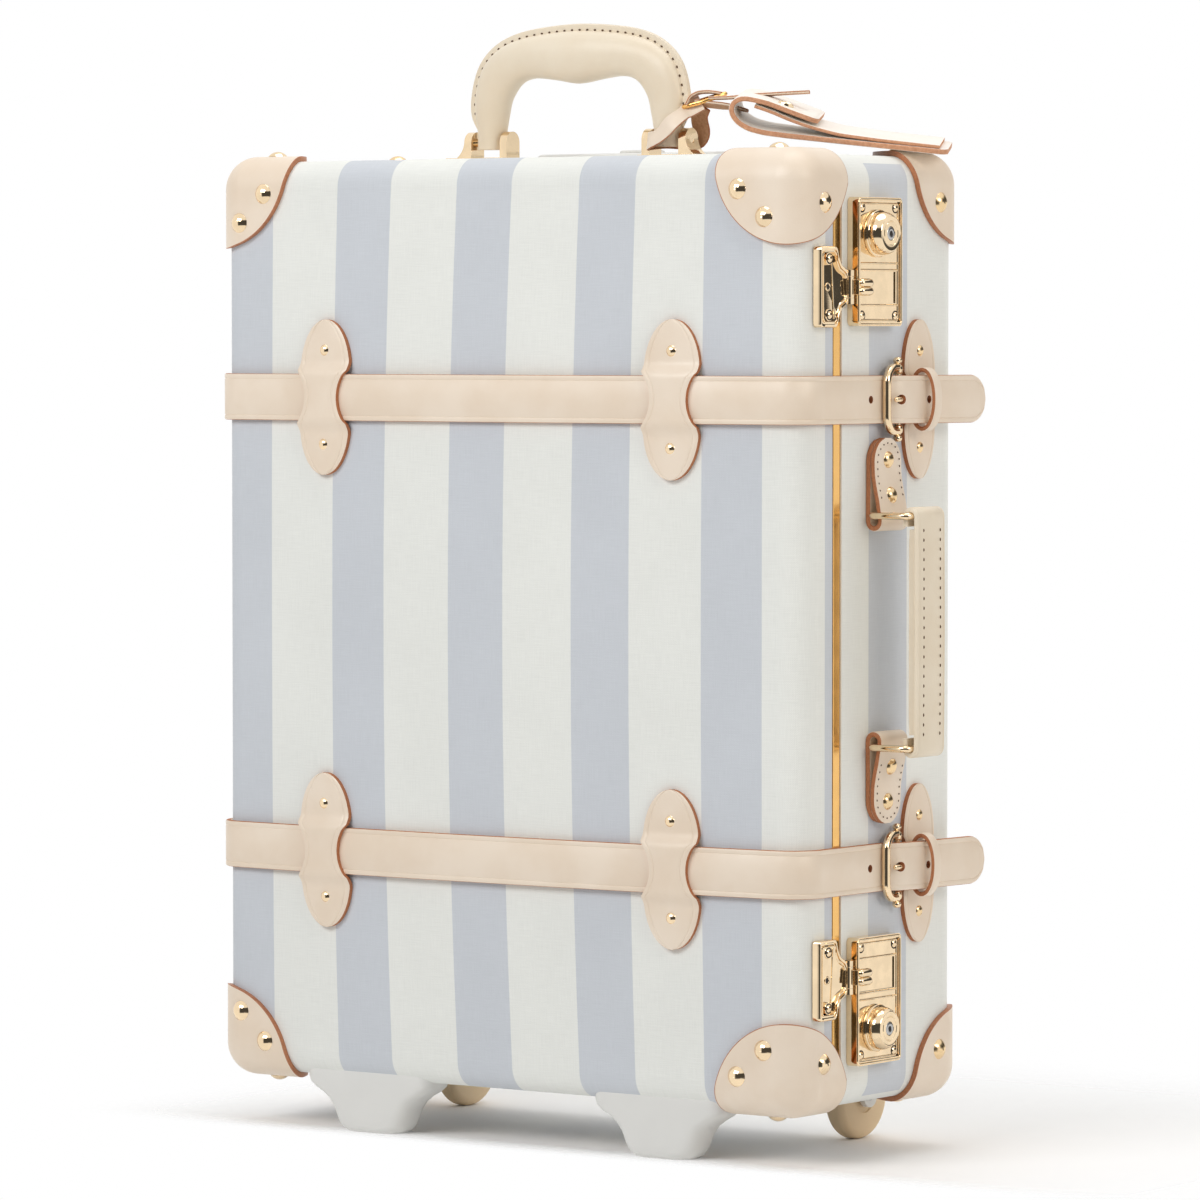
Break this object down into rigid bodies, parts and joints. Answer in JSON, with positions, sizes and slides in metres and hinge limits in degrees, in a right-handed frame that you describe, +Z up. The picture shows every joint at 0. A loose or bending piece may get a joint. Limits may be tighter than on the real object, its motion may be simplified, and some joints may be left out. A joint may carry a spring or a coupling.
{
  "type": "carry-on suitcase",
  "caption": "Upright hinged suitcase with striped fabric sides, leather corners and belts, brass locks and buckles, carry and side handles, a telescopic trolley, rear wheels and a luggage tag.",
  "frame": {"origin": "on the floor, in the middle of the footprint box", "axes": "+Z up, +X to the lock side of the case, -Y out of the lid's front"},
  "size_m": [0.3978, 0.166, 0.5577],
  "materials": {
    "striped_fabric": "woven, pale stripes",
    "lining_fabric": "plain weave",
    "gold_metal": "polished",
    "cream_leather": "smooth, stitched",
    "white_plastic": "satin",
    "tube_metal": "satin",
    "wheel_rubber": "matte",
    "axle_steel": "plain"
  },
  "bodies": {
    "base": {"base_shell": "striped_fabric", "base_lining": "lining_fabric", "base_rim": "gold_metal", "base_rivets": "gold_metal", "base_corner_top_right": "cream_leather", "base_corner_top_left": "cream_leather", "base_corner_bottom_right": "cream_leather", "base_corner_bottom_left": "cream_leather", "side_keepers": "cream_leather", "strap_anchors": "cream_leather", "buckle_chapes": "cream_leather", "strap_loops": "cream_leather", "lock_plates": "gold_metal", "lock_screws": "gold_metal", "handle_brackets": "gold_metal", "handle_pins": "gold_metal", "side_tabs": "cream_leather", "trolley_outer_tubes": "tube_metal", "trolley_bezel": "white_plastic", "wheel_housings": "white_plastic", "wheel_axles": "axle_steel", "hinge_base_leaves": "gold_metal", "hinge_pins": "gold_metal", "tag_strap": "cream_leather"},
    "lid": {"lid_shell": "striped_fabric", "lid_lining": "lining_fabric", "lid_rim": "gold_metal", "lid_corner_top_right": "cream_leather", "lid_corner_top_left": "cream_leather", "lid_corner_bottom_right": "cream_leather", "lid_corner_bottom_left": "cream_leather", "lid_rivets": "gold_metal", "hasp_plates": "gold_metal", "hasp_fasteners": "gold_metal", "front_keepers": "cream_leather", "strap_upper": "cream_leather", "strap_lower": "cream_leather", "strap_tails": "cream_leather", "front_foot_left": "white_plastic", "front_foot_right": "white_plastic", "hinge_lid_leaves": "gold_metal"},
    "hasp_tongue_upper": {"hasp_tongue_upper": "gold_metal"},
    "hasp_tongue_lower": {"hasp_tongue_lower": "gold_metal"},
    "lock_knob_upper": {"lock_knob_upper": "gold_metal"},
    "lock_knob_lower": {"lock_knob_lower": "gold_metal"},
    "trolley_middle_tubes": {"trolley_middle_tubes": "tube_metal"},
    "trolley_button": {"trolley_button": "white_plastic"},
    "carry_handle": {"carry_handle": "cream_leather"},
    "side_handle": {"side_handle": "cream_leather"},
    "side_ring_upper": {"side_ring_upper": "gold_metal"},
    "side_ring_lower": {"side_ring_lower": "gold_metal"},
    "buckle_frame_upper": {"buckle_frame_upper": "gold_metal"},
    "buckle_frame_lower": {"buckle_frame_lower": "gold_metal"},
    "buckle_prong_upper": {"buckle_prong_upper": "gold_metal"},
    "buckle_prong_lower": {"buckle_prong_lower": "gold_metal"},
    "wheel_left": {"wheel_left": "wheel_rubber"},
    "wheel_right": {"wheel_right": "wheel_rubber"},
    "luggage_tag": {"luggage_tag": "cream_leather"},
    "trolley_grip": {"trolley_grip": "white_plastic", "trolley_inner_tubes": "tube_metal"}
  },
  "joints": [
    {"name": "lid_hinge", "type": "hinge", "parent": "base", "child": "lid", "pos_m": [-0.19532, -0.04315, 0.25845], "axis": [0, 0, -1], "range_deg": [0, 110], "deforming": ["strap_tails"]},
    {"name": "hasp_upper_hinge", "type": "hinge", "parent": "lid", "child": "hasp_tongue_upper", "pos_m": [0.16972, -0.03495, 0.4252], "axis": [0, 0, -1], "range_deg": [0, 90]},
    {"name": "lock_knob_upper_turn", "type": "hinge", "parent": "base", "child": "lock_knob_upper", "pos_m": [0.17283, -0.01395, 0.4512], "axis": [1, 0, 0], "range_deg": [0, 90]},
    {"name": "buckle_upper_hinge", "type": "hinge", "parent": "base", "child": "buckle_frame_upper", "pos_m": [0.17017, 0.00605, 0.3708], "axis": [0, 0, 1], "range_deg": [0, 50]},
    {"name": "prong_upper_hinge", "type": "hinge", "parent": "buckle_frame_upper", "child": "buckle_prong_upper", "pos_m": [0.17017, 0.00605, 0.3708], "axis": [0, 0, 1], "range_deg": [0, 40]},
    {"name": "hasp_lower_hinge", "type": "hinge", "parent": "lid", "child": "hasp_tongue_lower", "pos_m": [0.16972, -0.03495, 0.0917], "axis": [0, 0, -1], "range_deg": [0, 90]},
    {"name": "lock_knob_lower_turn", "type": "hinge", "parent": "base", "child": "lock_knob_lower", "pos_m": [0.17283, -0.01395, 0.0657], "axis": [1, 0, 0], "range_deg": [0, 90]},
    {"name": "buckle_lower_hinge", "type": "hinge", "parent": "base", "child": "buckle_frame_lower", "pos_m": [0.17017, 0.00605, 0.1432], "axis": [0, 0, 1], "range_deg": [0, 50]},
    {"name": "prong_lower_hinge", "type": "hinge", "parent": "buckle_frame_lower", "child": "buckle_prong_lower", "pos_m": [0.17017, 0.00605, 0.1432], "axis": [0, 0, 1], "range_deg": [0, 40]},
    {"name": "trolley_slide", "type": "slide", "parent": "base", "child": "trolley_grip", "axis": [0, 0, 1], "range_m": [0, 0.4]},
    {"name": "trolley_stage_slide", "type": "slide", "parent": "base", "child": "trolley_middle_tubes", "axis": [0, 0, 1], "range_m": [0, 0.2]},
    {"name": "trolley_button_press", "type": "slide", "parent": "trolley_grip", "child": "trolley_button", "axis": [0, 0, -1], "range_m": [0, 0.003], "stiffness_N_per_m": 400},
    {"name": "carry_handle_hinge", "type": "hinge", "parent": "base", "child": "carry_handle", "pos_m": [-0.01132, -0.00595, 0.49903], "axis": [1, 0, 0], "range_deg": [-70, 70], "deforming": ["tag_strap"]},
    {"name": "side_ring_upper_hinge", "type": "hinge", "parent": "base", "child": "side_ring_upper", "pos_m": [0.17017, -0.00395, 0.3147], "axis": [0, 1, 0], "range_deg": [-60, 60]},
    {"name": "side_handle_hinge", "type": "hinge", "parent": "side_ring_upper", "child": "side_handle", "pos_m": [0.19368, -0.00395, 0.3147], "axis": [0, 1, 0], "range_deg": [-60, 60]},
    {"name": "side_ring_lower_hinge", "type": "hinge", "parent": "base", "child": "side_ring_lower", "pos_m": [0.17017, -0.00395, 0.2022], "axis": [0, 1, 0], "range_deg": [-60, 60]},
    {"name": "wheel_left_spin", "type": "hinge", "parent": "base", "child": "wheel_left", "pos_m": [-0.13332, 0.06105, 0.022], "axis": [1, 0, 0], "continuous": true},
    {"name": "wheel_right_spin", "type": "hinge", "parent": "base", "child": "wheel_right", "pos_m": [0.11067, 0.06105, 0.022], "axis": [1, 0, 0], "continuous": true},
    {"name": "luggage_tag_lift", "type": "hinge", "parent": "base", "child": "luggage_tag", "pos_m": [0.08171, 0.00711, 0.51052], "axis": [0.5, -0.866, 0], "range_deg": [0, 70], "deforming": ["tag_strap"]}
  ],
  "couplings": [
    {"joint": "trolley_stage_slide", "follows": "trolley_slide", "ratio": 0.5},
    {"joint": "side_handle_hinge", "follows": "side_ring_upper_hinge", "ratio": -1},
    {"joint": "side_ring_lower_hinge", "follows": "side_ring_upper_hinge", "ratio": 1}
  ]
}
